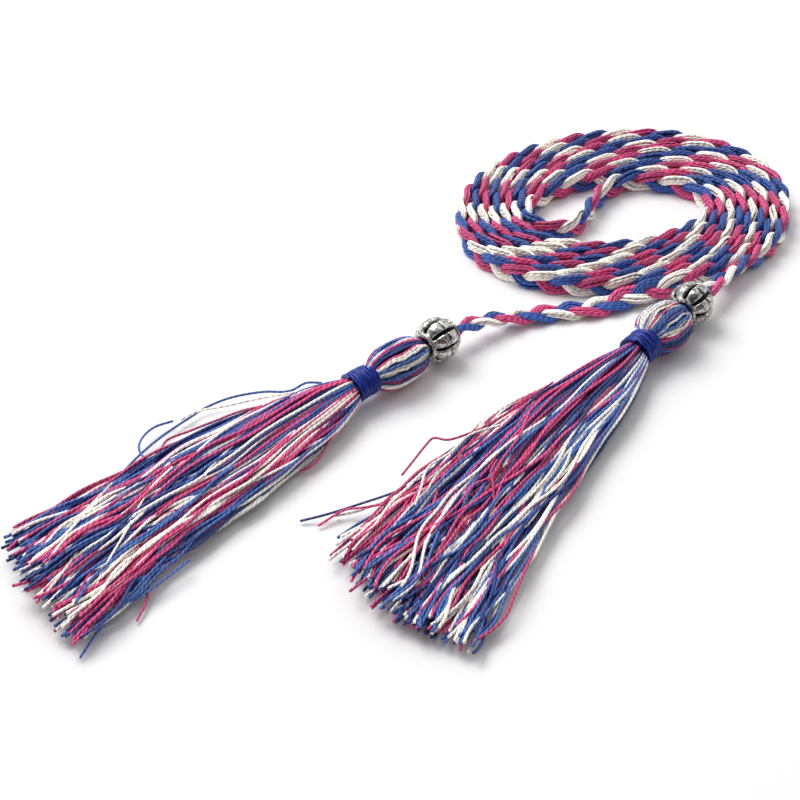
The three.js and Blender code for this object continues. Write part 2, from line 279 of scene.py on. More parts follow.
def even_steps(path, step):
    """The path resampled at even distances, and those distances."""
    lengths = np.concatenate([[0], np.cumsum(np.linalg.norm(np.diff(path, axis=0), axis=1))])
    count = int(round(lengths[-1] / step)) + 1
    at = np.linspace(0, lengths[-1], count)
    return np.stack([np.interp(at, lengths, path[:, k]) for k in range(path.shape[1])], 1), at


route_points = (
    [end_point(ENDS["left"], d) for d in (-BEAD_HALF_LENGTH, 0, BEAD_HALF_LENGTH)]
    + LEFT_TAIL + coil_run(*INNER_RUN, 0) + FOLD + coil_run(*OUTER_RUN, 1) + RIGHT_TAIL
    + [end_point(ENDS["right"], d) for d in (BEAD_HALF_LENGTH, 0, -BEAD_HALF_LENGTH)])
route, distance_along = even_steps(smooth_path(route_points), ROUTE_STEP)
belt_length = distance_along[-1]
print("braid centreline, mm:", round(belt_length, 1), "in", len(route), "points")

# %% [markdown]
# The braid lies flat by the beads, rolls over as it nears the coil and stands on edge in it, like a
# wound ribbon. `across` is the direction of its width and `through` that of its thickness.

# %% How the braid lies
LOOSE_THREADS = 0.6  # mm


def ease(value, low, high):
    """0 up to low, 1 from high, smooth in between."""
    t = np.clip((value - low) / (high - low), 0, 1)
    return t * t * (3 - 2 * t)


def unit(vectors):
    return vectors / np.linalg.norm(vectors, axis=-1, keepdims=True)


from_left, from_right = distance_along, belt_length - distance_along
roll = np.pi / 2 * np.minimum(ease(from_left, *ROLL_LEFT), ease(from_right, *ROLL_RIGHT))
from_bead = np.minimum(from_left, from_right) - 2 * BEAD_HALF_LENGTH
# Separate threads make a flat braid a little thicker than the CAD's smooth strands do.
lying = (BRAID_WIDTH * np.sin(roll) + (BRAID_THICKNESS + LOOSE_THREADS) * np.cos(roll)) / 2
risen = 1 - ease(from_bead, 0, END_RISE_LENGTH)
height = lying * (1 - risen) + END_AXIS_HEIGHT * risen
pinch = PINCHED_SHARE + (1 - PINCHED_SHARE) * ease(from_bead, 0, PINCH_LENGTH)

centreline = np.column_stack([route, height])
along = unit(np.gradient(centreline, axis=0))
side = unit(np.cross([0, 0, 1], along))
top = np.cross(along, side)
across = side * np.cos(roll)[:, None] + top * np.sin(roll)[:, None]
through = top * np.cos(roll)[:, None] - side * np.sin(roll)[:, None]
print("highest point of the centreline, mm:", round(centreline[:, 2].max(), 2))

# %% [markdown]
# In a three-strand braid each strand swings from edge to edge while it dips under and over the
# other two: one sine wave across, and one twice as fast through. The third harmonic flattens the
# turns at the edges, as a real strand lies for a moment along the edge before it comes back.

# %% Paths of the three strands
STRAND_REACH = 2.0
STRAND_LIFT = 0.78


def strand_path(order):
    turn = np.radians(360 * distance_along / BRAID_PERIOD + BRAID_PHASE + 120 * order)
    # The third harmonic takes a ninth off each peak, and 1.125 brings the peak back to 1.
    reach = STRAND_REACH * pinch * 1.125 * (np.sin(turn) + np.sin(3 * turn) / 9)
    lift = STRAND_LIFT * np.sin(2 * turn)
    return centreline + across * reach[:, None] + through * lift[:, None]


strand_paths = {name: strand_path(i) for i, name in enumerate(("blue", "pink", "white"))}
for name, path in strand_paths.items():
    print(name, "strand, mm:", round(float(np.linalg.norm(np.diff(path, axis=0), axis=1).sum()), 1))

# %% [markdown]
# Every thread in the belt is made the same way, so these parts of the node trees are shared. The
# first copies a drawn line once for each thread, and the second gives each thread a slow noise of
# its own. The last sweeps a small circle along the curves, keeps where each point lies round and
# along its thread for the material to read, and turns the result into one mesh. The tone, which
# differs from thread to thread, also shifts the distance along, or the plies of neighbours would
# line up. Six sides are enough for a thread under a millimetre thick.

# %% Shared parts of the thread trees
THREAD_SIDES = 6
PLY_SHIFT = 50.0  # mm along, between the thread of the darkest tone and that of the lightest


def new_tree(name, sizes):
    """A node group with named inputs: {name: (socket type, default)}."""
    tree = bpy.data.node_groups.new(name, "GeometryNodeTree")
    tree.interface.new_socket("Geometry", in_out="INPUT", socket_type="NodeSocketGeometry")
    for label, (kind, default) in sizes.items():
        made = tree.interface.new_socket(label, in_out="INPUT", socket_type=kind)
        if default is not None:
            made.default_value = default
    tree.interface.new_socket("Geometry", in_out="OUTPUT", socket_type="NodeSocketGeometry")
    return tree, add(tree, "NodeGroupInput").outputs


def copy_line(tree, given):
    """A copy of the drawn line for each thread, and the number of each."""
    line = add(tree, "GeometryNodeMeshToCurve", {"Mesh": given["Geometry"]})
    copies = add(tree, "GeometryNodeDuplicateElements",
                 {"Geometry": line, "Amount": given["Threads"]}, domain="SPLINE")
    return copies.outputs["Geometry"], copies.outputs["Duplicate Index"]


def slow_noise(tree, seed, lay, pace, thread, spread, detail=1.0):
    """Noise that moves on by pace for a millimetre along and by spread for a thread."""
    spot = add(tree, "CombineXYZ", [add(tree, "Math", [lay, pace], "MULTIPLY"),
                                    add(tree, "Math", [thread, spread], "MULTIPLY"), seed])
    return add(tree, "TexNoise", {"Vector": spot, "Scale": 1.0, "Detail": detail})


def sweep_threads(tree, given, curves, lay, tone, dye):
    """Sweeps thread along the curves. lay is the distance along, tone and dye a thread's own."""
    profile = add(tree, "GeometryNodeCurvePrimitiveCircle",
                  {"Resolution": THREAD_SIDES, "Radius": given["Thread Radius"]})
    round_it = add(tree, "VectorMath", [add(tree, "GeometryNodeInputPosition")], "NORMALIZE")
    facing = add(tree, "GeometryNodeCaptureAttribute", {"Geometry": profile})
    facing.capture_items.new("VECTOR", "Facing")
    fill(facing, {"Facing": round_it})
    kept = add(tree, "GeometryNodeCaptureAttribute", {"Geometry": curves}, domain="POINT")
    lay = add(tree, "Math", [tone, PLY_SHIFT, lay], "MULTIPLY_ADD").outputs[0]
    for label, value in (("Lay", lay), ("Tone", tone), ("Dye", dye)):
        kept.capture_items.new("FLOAT", label)
        fill(kept, {label: value})
    swept = add(tree, "GeometryNodeCurveToMesh",
                {"Curve": kept.outputs["Geometry"], "Profile Curve": facing.outputs["Geometry"],
                 "Fill Caps": True})
    parts = add(tree, "SeparateXYZ", [facing.outputs["Facing"]])
    ply = add(tree, "CombineXYZ", [parts.outputs["X"], parts.outputs["Y"], kept.outputs["Lay"]])
    named = add(tree, "GeometryNodeStoreNamedAttribute",
                {"Geometry": swept, "Name": "ply", "Value": ply.outputs[0]},
                data_type="FLOAT_VECTOR")
    for label, key in (("tone", "Tone"), ("dye", "Dye")):
        named = add(tree, "GeometryNodeStoreNamedAttribute",
                    {"Geometry": named.outputs[0], "Name": label, "Value": kept.outputs[key]},
                    data_type="FLOAT")
    smooth = add(tree, "GeometryNodeSetShadeSmooth", {"Geometry": named.outputs[0]})
    whole = add(tree, "GeometryNodeRealizeInstances", {"Geometry": smooth.outputs[0]})
    finished = add(tree, "GeometryNodeSetMaterial",
                   {"Geometry": whole.outputs[0], "Material": given["Material"]})
    add(tree, "NodeGroupOutput", {"Geometry": finished.outputs[0]})


def in_row(points):
    """Points of the plan, in millimetres, as metres in the row frame."""
    return (np.asarray(points) - [*PLAN_CENTRE, 0]) * MM


def store(mesh, label, values):
    """Keeps a value or a vector for each point of a mesh, for a tree or a material to read."""
    kind, key = ("FLOAT_VECTOR", "vector") if values.ndim == 2 else ("FLOAT", "value")
    mesh.attributes.new(label, kind, "POINT").data.foreach_set(key, values.ravel())


def line_mesh(name, lines, attributes):
    """A mesh of open polylines of the plan, with attributes on their points."""
    edges, first = [], 0
    for line in lines:
        edges += [(first + i, first + i + 1) for i in range(len(line) - 1)]
        first += len(line)
    mesh = bpy.data.meshes.new(name)
    mesh.from_pydata(in_row(np.vstack(lines)).tolist(), edges, [])
    for label, values in attributes.items():
        store(mesh, label, values)
    return mesh


def grow(name, base, tree, values):
    """Runs a node tree on a base mesh and returns the result as a plain mesh object."""
    seedling = put(name + "_base", base)
    modifier = seedling.modifiers.new(tree.name, "NODES")
    modifier.node_group = tree
    for item in tree.interface.items_tree:
        if item.in_out == "INPUT" and item.name in values:
            modifier[item.identifier] = values[item.name]
    evaluated = seedling.evaluated_get(bpy.context.evaluated_depsgraph_get())
    mesh = bpy.data.meshes.new_from_object(evaluated)
    mesh.name = name
    seedling.modifiers.clear()
    bpy.data.objects.remove(seedling)
    mesh.calc_loop_triangles()
    print(name, len(mesh.loop_triangles), "triangles")
    return put(name, mesh)


# %% [markdown]
# Belt-making cotton is mercerised: two plies twisted together, with a soft sheen and a few loose
# fibres. The plies show as fine slanted ridges, worked out here from where a point lies round and
# along its thread, so they follow every bend. They are too fine for geometry, so they are bump,
# with painted shade darkening the line where the plies meet and a painted highlight lightening
# their crowns. Light passes through off-white cotton, so the painted shade in its lines is paler
# than in those of the dyed threads. The fibres' noise makes lighter flecks, partly light fibres
# and partly painted glints. The tone makes a whole thread lighter or darker than its neighbours.

# %% Cotton material
FIBRE_CLUMP = 0.625  # mm across
PLY_LENGTH = 1.8  # mm for a turn of the two plies, a little over the real 1.4 so that it shows
FIBRE_RELIEF = 0.25  # the fibres' height as a share of a ply's
# Painted shade: how bright the line between two plies is painted.
DYED_PLY_SHADE, WHITE_PLY_SHADE = 0.28, 0.72  # brightness of the line between two plies


def ply_ridges(tree, place):
    """1 on a ply's crown, 0 in the groove between two plies."""
    parts = add(tree, "SeparateXYZ", [place])
    around = add(tree, "Math", [parts.outputs["Y"], parts.outputs["X"]], "ARCTAN2")
    along_it = add(tree, "Math", [parts.outputs["Z"], math.pi / PLY_LENGTH], "MULTIPLY")
    spiral = add(tree, "Math", [around, along_it], "ADD")
    wave = add(tree, "Math", [spiral], "SINE")
    return add(tree, "Math", [wave], "ABSOLUTE")


def cotton(name, base, ply_shade_level=DYED_PLY_SHADE):
    """Mercerised cotton. base and ply_shade_level are values or functions that build one."""
    material, tree, shader = new_material(name)
    place = add(tree, "Attribute", attribute_name="ply")
    tone = add(tree, "Attribute", attribute_name="tone")
    ridges = ply_ridges(tree, place.outputs["Vector"])
    fibres = add(tree, "TexNoise", {"Vector": add(tree, "TexCoord").outputs["Object"],
                                    "Scale": 1000 / FIBRE_CLUMP, "Detail": 3.0})
    # Painted shade in the line between two plies, and a painted highlight, lighter than the base, on
    # their crowns.
    groove = add(tree, "MapRange",
                 {"Value": ridges, "From Max": 0.75, "To Max": 1.2,
                  "To Min": ply_shade_level(tree) if callable(ply_shade_level) else ply_shade_level})
    shade = add(tree, "MapRange", {"Value": tone.outputs["Fac"], "To Min": 0.46, "To Max": 1.26})
    # Flecks from the fibres' noise: partly light fibres, partly painted glints.
    fibre_fleck_and_glint = add(tree, "MapRange", {"Value": fibres.outputs[0], "From Min": 0.3, "From Max": 0.7,
                                   "To Min": 0.8, "To Max": 1.3})
    level = add(tree, "Math", [groove, shade], "MULTIPLY")
    level = add(tree, "Math", [level, fibre_fleck_and_glint], "MULTIPLY")
    colour = base(tree) if callable(base) else linear(base)[:3]
    tinted = add(tree, "VectorMath", [colour, level], "MULTIPLY")
    relief = add(tree, "Math", [fibres.outputs[0], FIBRE_RELIEF], "MULTIPLY")
    relief = add(tree, "Math", [ridges, relief], "ADD")
    bump = add(tree, "Bump", {"Strength": 0.8, "Distance": 0.0002, "Height": relief})
    fill(shader, {"Base Color": tinted, "Normal": bump, "Roughness": 0.4, "IOR": 1.53,
                  "Specular IOR Level": 0.35})
    return material


strand_cotton = {
    "blue": cotton("mercerised_cotton_blue", "3F65BB"),
    "pink": cotton("mercerised_cotton_pink", "EF5895"),
    "white": cotton("mercerised_cotton_off_white", "FCF7EC", WHITE_PLY_SHADE),
}
print("cotton:", ", ".join(strand_cotton))

# %% [markdown]
# A strand is a bundle of twelve parallel threads. They could be modelled one by one, but they only
# differ by their place in the bundle, so Geometry Nodes copies the strand's path for each and sets
# each copy out on a flattened ring about it. A slow noise lets them shift a little, as loose
# threads do.

# %% Strand tree
BRAID_DRIFT = (0.05, 3.7)  # how far the slow noise moves on for a millimetre, and for a thread

bundle_tree, given = new_tree("Bundle of threads", {
    "Threads": ("NodeSocketInt", 12),
    "Half Width": ("NodeSocketFloat", 0.0012),
    "Half Thickness": ("NodeSocketFloat", 0.0007),
    "Thread Radius": ("NodeSocketFloat", 0.00037),
    "Wander": ("NodeSocketFloat", 0.5),
    "Seed": ("NodeSocketInt", 1),
    "Material": ("NodeSocketMaterial", None)})
tree = bundle_tree
copies, order = copy_line(tree, given)
face, lay, narrow = (
    add(tree, "GeometryNodeInputNamedAttribute", {"Name": label}, data_type=kind).outputs[0]
    for label, kind in (("through", "FLOAT_VECTOR"), ("distance", "FLOAT"), ("pinch", "FLOAT")))
tangent = add(tree, "GeometryNodeInputTangent")
sideways = add(tree, "VectorMath", [face, tangent], "CROSS_PRODUCT")
sideways = add(tree, "VectorMath", [sideways], "NORMALIZE")
upright = add(tree, "VectorMath", [tangent, sideways], "CROSS_PRODUCT")
noise = slow_noise(tree, given["Seed"], lay, BRAID_DRIFT[0], order, BRAID_DRIFT[1])
shift = add(tree, "MapRange",
            {"Value": noise.outputs[0], "From Min": 0.25, "From Max": 0.75, "To Min": -1.0})
shift = add(tree, "Math", [shift, given["Wander"]], "MULTIPLY")
place = add(tree, "Math", [order, given["Threads"]], "DIVIDE")
angle = add(tree, "Math", [place, 2 * math.pi, shift], "MULTIPLY_ADD")
width = add(tree, "Math", [add(tree, "Math", [angle], "COSINE"), given["Half Width"]], "MULTIPLY")
width = add(tree, "Math", [width, narrow], "MULTIPLY")
rise = add(tree, "Math", [add(tree, "Math", [angle], "SINE"), given["Half Thickness"]], "MULTIPLY")
offset = add(tree, "VectorMath", [add(tree, "VectorMath", {0: sideways, "Scale": width}, "SCALE"),
                                  add(tree, "VectorMath", {0: upright, "Scale": rise}, "SCALE")],
             "ADD")
laid = add(tree, "GeometryNodeSetPosition", {"Geometry": copies, "Offset": offset})
tone = add(tree, "FunctionNodeRandomValue", {"ID": order, "Seed": given["Seed"]}, data_type="FLOAT")
sweep_threads(tree, given, laid.outputs[0], lay, tone.outputs["Value"], tone.outputs["Value"])
print("strand tree:", len(tree.nodes), "nodes")

# %% [markdown]
# Each strand becomes one mesh piece that stands for its CAD solid.


def stand_for(piece, node):
    """A piece moves with the one body and takes a CAD solid's place."""
    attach(piece, "root")
    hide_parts(node)


def add_strand(order, name):
    path = strand_paths[name]
    base = line_mesh(name, [path], {"through": through, "distance": distance_along, "pinch": pinch})
    piece = grow("braid_" + name, base, bundle_tree,
                 {"Seed": order + 1, "Material": strand_cotton[name]})
    stand_for(piece, "strand_" + name)


for order, name in enumerate(strand_paths):
    add_strand(order, name)

# %% [markdown]
# Each end of the belt has an axis of its own, from the braid through the bead and down the tassel.
# Pieces there are drawn about that axis, as distance along it and out from it.

# %% The two ends
SIDES = ("left", "right")


def bearing(degrees):
    """The level direction at an angle from the plan's x."""
    angle = math.radians(degrees)
    return np.array([math.cos(angle), math.sin(angle), 0.0])


def end_frame(which):
    """The bead's centre, the direction down the tassel and the one to its side, in the plan."""
    end = ENDS[which]
    along = bearing(end["heading"] + 180)
    return np.array([end["x"], end["y"], END_AXIS_HEIGHT]), along, np.cross([0, 0, 1], along)


# %% [markdown]
# A tassel's threads are dyed like the braid's, but mixed. One material serves them all: each thread
# carries a `dye` number, and a ramp with hard steps turns it into dark blue, blue, pink or
# off-white. The same number says where the painted shade in the lines between plies is pale.

# %% Mixed tassel cotton
DYES = [(0.0, "24397E"), (0.27, "4269B4"), (0.5, "D64982"), (0.73, "FCF8EE")]


def dye_ramp(tree):
    dye = add(tree, "Attribute", attribute_name="dye")
    ramp = add(tree, "ValToRGB", {"Fac": dye.outputs["Fac"]})
    ramp.color_ramp.interpolation = "CONSTANT"
    while len(ramp.color_ramp.elements) < len(DYES):
        ramp.color_ramp.elements.new(1.0)
    for element, (start, colour) in zip(ramp.color_ramp.elements, DYES):
        element.position = start
        element.color = linear(colour)
    return ramp.outputs["Color"]


# Painted shade in the lines between plies, paler on the off-white threads.
def ply_shade_by_dye(tree):
    dye = add(tree, "Attribute", attribute_name="dye")
    white = add(tree, "Math", [dye.outputs["Fac"], DYES[-1][0]], "GREATER_THAN")
    return add(tree, "MapRange", {"Value": white, "To Min": DYED_PLY_SHADE, "To Max": WHITE_PLY_SHADE})


tassel_cotton = cotton("mercerised_cotton_mixed", dye_ramp, ply_shade_by_dye)
print("mixed cotton:", len(DYES), "dyes")

# %% [markdown]
# The skirt is about 230 cut threads that leave the binding as a tight bundle and fan out over the
# floor. Drawing each by hand would be slow and look combed. Instead one line down the middle
# carries the skirt's width, top and floor at each place, and Geometry Nodes copies it. Threads keep
# together in locks of three, as real ones do, and a lock shares a place across, a height in the
# heap and mostly a dye. Each thread strays a little from its lock, some cross the skirt on their
# way down, and all waver and are cut at a length of their own. Threads deep in the heap get a
# darker tone than those on top, as painted shade.

# %% Locks of threads
OWN_DYE = 0.4  # the share of threads that differ from their lock


def random_value(tree, order, seed, draw, low=0.0, high=1.0):
    """A random number for each thread. draw keeps one use's numbers apart from another's."""
    seeded = add(tree, "Math", [seed, float(draw)], "ADD")
    return add(tree, "FunctionNodeRandomValue", {2: low, 3: high, "ID": order, "Seed": seeded},
               data_type="FLOAT").outputs[1]


def locks_of(tree, order, size):
    """A number shared by neighbouring threads, so that they can keep together as a lock."""
    share = add(tree, "Math", [order, float(size)], "DIVIDE")
    return add(tree, "Math", [share], "FLOOR")


def lock_dye(tree, order, lock, seed):
    """The dye of a thread's lock, or for some threads a dye of their own."""
    alone = add(tree, "Math", [random_value(tree, order, seed, 61), 1 - OWN_DYE], "GREATER_THAN")
    # A Mix node's input 0 is its factor, 2 and 3 are two values, and 6 and 7 two colours.
    return add(tree, "Mix", {0: alone, 2: random_value(tree, lock, seed, 53),
                             3: random_value(tree, order, seed, 59)}).outputs[0]


# %% Skirt tree
LOCK_SIZE = 3  # threads
LOCK_REACH = 1.15  # in half widths, over 1 to fill the edges
STRAY = 0.07  # in half widths, a thread from its lock
HEIGHT_ALONE = 0.35  # how far a thread's height in the heap is its own and not its lock's
HEAP_POWER = 0.6  # under 1, so that more threads lie high than low
CROWN = 0.5  # how much lower the heap is at its edges, as a share
SKIRT_DRIFT = 0.024  # how far the slow noise moves on for a millimetre
LOCK_DRIFT, THREAD_DRIFT = 5.3, 0.14  # and how far for a lock, and for a thread in it
LOOSENING = 0.7  # the power by which the waver grows from the binding to the tips
# Painted shade: how far the tone follows the height in the heap, so that low threads are darker.
PAINTED_SHADE_BY_HEIGHT = 0.6  # how far the tone follows the height, as a share

skirt_tree, given = new_tree("Skirt of threads", {
    "Threads": ("NodeSocketInt", 230),
    "Side": ("NodeSocketVector", None),
    "Reach Left": ("NodeSocketFloat", 0.9),
    "Reach Middle": ("NodeSocketFloat", 1.0),
    "Reach Right": ("NodeSocketFloat", 0.95),
    "Ragged": ("NodeSocketFloat", 0.03),
    "Crossing": ("NodeSocketFloat", 0.9),
    "Waver": ("NodeSocketFloat", 0.006),
    "Thread Radius": ("NodeSocketFloat", 0.00043),
    "Seed": ("NodeSocketInt", 1),
    "Material": ("NodeSocketMaterial", None)})
tree = skirt_tree
copies, order = copy_line(tree, given)
share, left, right, low, high, lay = (
    add(tree, "GeometryNodeInputNamedAttribute", {"Name": label}, data_type="FLOAT").outputs[0]
    for label in ("share", "left", "right", "low", "high", "distance"))
seed = given["Seed"]
# Each thread's place across, from -1 at the right edge to 1 at the left.
lock = locks_of(tree, order, LOCK_SIZE)
start = add(tree, "Math", [random_value(tree, lock, seed, 0, -LOCK_REACH, LOCK_REACH),
                           random_value(tree, order, seed, 5, -STRAY, STRAY)], "ADD")
crossing = add(tree, "Math", [random_value(tree, order, seed, 11), 2.0], "POWER")
crossing = add(tree, "Math", [crossing, given["Crossing"]], "MULTIPLY")
end = add(tree, "Mix", {0: crossing, 2: start, 3: random_value(tree, order, seed, 17, -1.0, 1.0)})
place = add(tree, "Mix", {0: share, 2: start, 3: end})
place = add(tree, "Clamp", {"Value": place, "Min": -1.0, "Max": 1.0})
# Its distance to the side and its height.
place_share = add(tree, "MapRange", {"Value": place, "From Min": -1.0})
minus_right = add(tree, "Math", [right, -1.0], "MULTIPLY")
sideways = add(tree, "Mix", {0: place_share, 2: minus_right, 3: left})
heap = add(tree, "Mix", {0: HEIGHT_ALONE, 2: random_value(tree, lock, seed, 23),
                         3: random_value(tree, order, seed, 29)})
heap = add(tree, "Math", [heap, HEAP_POWER], "POWER")
squared = add(tree, "Math", [place, place], "MULTIPLY")
crown = add(tree, "Math", [squared, -CROWN, 1.0], "MULTIPLY_ADD")
level = add(tree, "Math", [heap, crown], "MULTIPLY")
up = add(tree, "Mix", {0: level, 2: low, 3: high})
# Its waver on the way.
thread = add(tree, "Math", [order, THREAD_DRIFT], "MULTIPLY")
thread = add(tree, "Math", [lock, LOCK_DRIFT, thread], "MULTIPLY_ADD")
noise = slow_noise(tree, seed, lay, SKIRT_DRIFT, thread, 1.0, detail=1.5)
noise = add(tree, "SeparateXYZ", [noise.outputs["Color"]])
loose = add(tree, "Math", [share, LOOSENING], "POWER")
loose = add(tree, "Math", [loose, given["Waver"]], "MULTIPLY")
waver = add(tree, "MapRange",
            {"Value": noise.outputs["X"], "From Min": 0.25, "From Max": 0.75, "To Min": -1.0})
sideways = add(tree, "Math", [waver, loose, sideways], "MULTIPLY_ADD")
flutter = add(tree, "MapRange",
              {"Value": noise.outputs["Y"], "From Min": 0.3, "From Max": 0.75, "To Max": 0.6})
up = add(tree, "Math", [flutter, loose, up], "MULTIPLY_ADD")
offset = add(tree, "VectorMath", {0: given["Side"], "Scale": sideways}, "SCALE")
offset = add(tree, "VectorMath", [offset, add(tree, "CombineXYZ", {2: up})], "ADD")
laid = add(tree, "GeometryNodeSetPosition", {"Geometry": copies, "Offset": offset})
# Its cut end, and its finish.
outer = add(tree, "Math", [place], "ABSOLUTE")
is_left = add(tree, "Math", [place, 0.0], "GREATER_THAN")
edge = add(tree, "Mix", {0: is_left, 2: given["Reach Right"], 3: given["Reach Left"]})
reach = add(tree, "Mix", {0: outer, 2: given["Reach Middle"], 3: edge})
short = add(tree, "Math", [random_value(tree, order, seed, 37, -1.0, 1.0), given["Ragged"], reach],
            "MULTIPLY_ADD")
cut = add(tree, "GeometryNodeTrimCurve", {"Curve": laid, "End": short}, mode="FACTOR")
# The tone: partly random, partly painted shade that darkens the threads low in the heap.
tone = add(tree, "Mix",
           {0: PAINTED_SHADE_BY_HEIGHT, 2: random_value(tree, order, seed, 41), 3: heap}).outputs[0]
dye = lock_dye(tree, order, lock, seed)
sweep_threads(tree, given, cut.outputs[0], lay, tone, dye)
print("skirt tree:", len(tree.nodes), "nodes")

# %% [markdown]
# The table follows the CAD's skirt: at each distance from the binding, how far the threads spread
# to either side and how high they lie. It is a little wider near the binding, because loose threads
# part sooner than the smooth locks of a solid. Values in between come from a smooth curve through
# the rows.

# %% The two skirts
SKIRT_STEPS = 46
CURVE_STEP = 0.5  # mm
SKIRTS = {
    "left": {
        "heading": 225.8, "reach": (99.0, 107.5, 112.0), "seed": 5,
        "rows": [  # along, left, right, low, high
            (-1.0, 3.5, 3.5, 3.2, 9.8), (3.0, 6.2, 5.0, 2.0, 10.6),
            (12.0, 10.9, 7.4, 0.9, 10.9), (32.0, 15.8, 10.4, 0.5, 9.6),
            (66.0, 19.0, 13.6, 0.5, 7.8), (120.0, 24.2, 20.4, 0.5, 5.2)]},
    "right": {
        "heading": 238.8, "reach": (108.0, 121.0, 120.0), "seed": 8,
        "rows": [
            (-1.0, 3.9, 3.9, 3.0, 10.2), (3.0, 5.8, 5.2, 1.8, 10.8),
            (14.0, 10.6, 7.0, 0.9, 11.0), (36.0, 18.6, 8.4, 0.5, 9.6),
            (72.0, 25.0, 10.8, 0.5, 7.6), (128.0, 29.0, 16.6, 0.5, 5.0)]},
}


def binding_start(which):
    return HEAD_START + ENDS[which]["head_length"]


def skirt_start(which):
    return binding_start(which) + ENDS[which]["binding_length"]


def add_skirt(which):
    skirt = SKIRTS[which]
    rows = np.array(skirt["rows"])
    curve, _ = even_steps(smooth_path(rows), CURVE_STEP)
    at = np.linspace(rows[0, 0], rows[-1, 0], SKIRT_STEPS + 1)
    left, right, low, high = (np.interp(at, curve[:, 0], curve[:, k]) for k in range(1, 5))
    base = np.array([*end_point(ENDS[which], -skirt_start(which)), 0.0])
    along = bearing(skirt["heading"])
    side = np.cross(along, [0, 0, 1])
    share = (at - at[0]) / (at[-1] - at[0])
    mesh = line_mesh("skirt_line_" + which, [base + along * at[:, None]],
                     {"share": share, "left": left * MM, "right": right * MM, "low": low * MM,
                      "high": high * MM, "distance": at})
    reach = [(r - at[0]) / (at[-1] - at[0]) for r in skirt["reach"]]
    return grow("tassel_skirt_" + which, mesh, skirt_tree, {
        "Side": side.tolist(), "Reach Left": reach[0], "Reach Middle": reach[1],
        "Reach Right": reach[2], "Seed": skirt["seed"], "Material": tassel_cotton})


# %% [markdown]
# Above the binding the same threads are folded over the braid's end and make the round head. One
# meridian of the head, from the bead to the waist, is copied round the axis, with a lean, a waver
# and a depth for each copy, and mostly one dye for each pair. A core under the threads closes the
# gaps between them, as the stuffing of threads does in a real head. It has no ply, tone or dye of
# its own, so the mixed cotton gives it its darkest dye and tone, as painted shade in the gaps.

# %% Head tree
HEAD_DRIFT = (0.12, 0.6)  # as for the braid
HEAD_LOCK = 2  # threads

head_tree, given = new_tree("Folded head", {
    "Threads": ("NodeSocketInt", 78),
    "Axis": ("NodeSocketVector", None),
    "Centre": ("NodeSocketVector", None),
    "Flattening": ("NodeSocketFloat", HEAD_FLATTENING),
    "Twist": ("NodeSocketFloat", 0.2),
    "Waver": ("NodeSocketFloat", 0.14),
    "Swell": ("NodeSocketFloat", 0.06),
    "Thread Radius": ("NodeSocketFloat", 0.00044),
    "Seed": ("NodeSocketInt", 1),
    "Material": ("NodeSocketMaterial", None)})
tree = head_tree
copies, order = copy_line(tree, given)
share, lay = (
    add(tree, "GeometryNodeInputNamedAttribute", {"Name": label}, data_type="FLOAT").outputs[0]
    for label in ("share", "distance"))
seed = given["Seed"]
noise = slow_noise(tree, seed, lay, HEAD_DRIFT[0], order, HEAD_DRIFT[1])
noise = add(tree, "SeparateXYZ", [noise.outputs["Color"]])
waver = add(tree, "MapRange",
            {"Value": noise.outputs["X"], "From Min": 0.25, "From Max": 0.75, "To Min": -1.0})
waver = add(tree, "Math", [waver, given["Waver"]], "MULTIPLY")
lean = add(tree, "Math", [share, given["Twist"], waver], "MULTIPLY_ADD")
place = add(tree, "Math", [order, given["Threads"]], "DIVIDE")
angle = add(tree, "Math", [place, 2 * math.pi, lean], "MULTIPLY_ADD")
turned = add(tree, "VectorRotate",
             {"Vector": add(tree, "GeometryNodeInputPosition"), "Center": given["Centre"],
              "Axis": given["Axis"], "Angle": angle})
settle = add(tree, "VectorMath", [turned, given["Centre"]], "SUBTRACT")
along_axis = add(tree, "VectorMath", [settle, given["Axis"]], "DOT_PRODUCT")
along_axis = add(tree, "VectorMath", {0: given["Axis"], "Scale": along_axis.outputs["Value"]},
                 "SCALE")
from_axis = add(tree, "VectorMath", [settle, along_axis], "SUBTRACT")
depth = random_value(tree, order, seed, 29, -1.0, 0.3)
depth = add(tree, "Math", [depth, given["Swell"], 1.0], "MULTIPLY_ADD")
from_axis = add(tree, "VectorMath", {0: from_axis, "Scale": depth}, "SCALE")
from_axis = add(tree, "VectorMath",
                [from_axis, add(tree, "CombineXYZ", [1.0, 1.0, given["Flattening"]])], "MULTIPLY")
settle = add(tree, "VectorMath", [along_axis, from_axis], "ADD")
settle = add(tree, "VectorMath", [settle, given["Centre"]], "ADD")
laid = add(tree, "GeometryNodeSetPosition",
           {"Geometry": copies, "Position": settle.outputs["Vector"]})
tone = random_value(tree, order, seed, 41)
dye = lock_dye(tree, order, locks_of(tree, order, HEAD_LOCK), seed)
sweep_threads(tree, given, laid.outputs[0], lay, tone, dye)
print("head tree:", len(tree.nodes), "nodes")

# %% The two heads
HEAD_PROFILE = [(0.0, 0.33), (0.08, 0.62), (0.25, 0.91), (0.52, 1.0), (0.76, 0.95), (0.92, 0.76),
                (1.0, 0.58), (1.2, 0.5)]  # shares of the head's length and radius
HEAD_THREAD_RADIUS = 0.44
HEAD_SEEDS = {"left": 7, "right": 57}
CORE_DEPTH = 1.3  # mm from the tops of the threads to the core
CORE_SIDES = 40
HEAD_STEPS = 34
PROFILE_STEP = 0.2  # mm


def head_outline(which, shrink):
    """Rows of (along, radius), from the bead to inside the binding, shrunk by so many mm."""
    end = ENDS[which]
    rows = np.array(HEAD_PROFILE) * [end["head_length"], end["head_radius"]] + [HEAD_START, -shrink]
    outline, _ = even_steps(smooth_path(rows), PROFILE_STEP)
    pick = np.linspace(0, len(outline) - 1, HEAD_STEPS + 1).round().astype(int)
    return outline[pick]


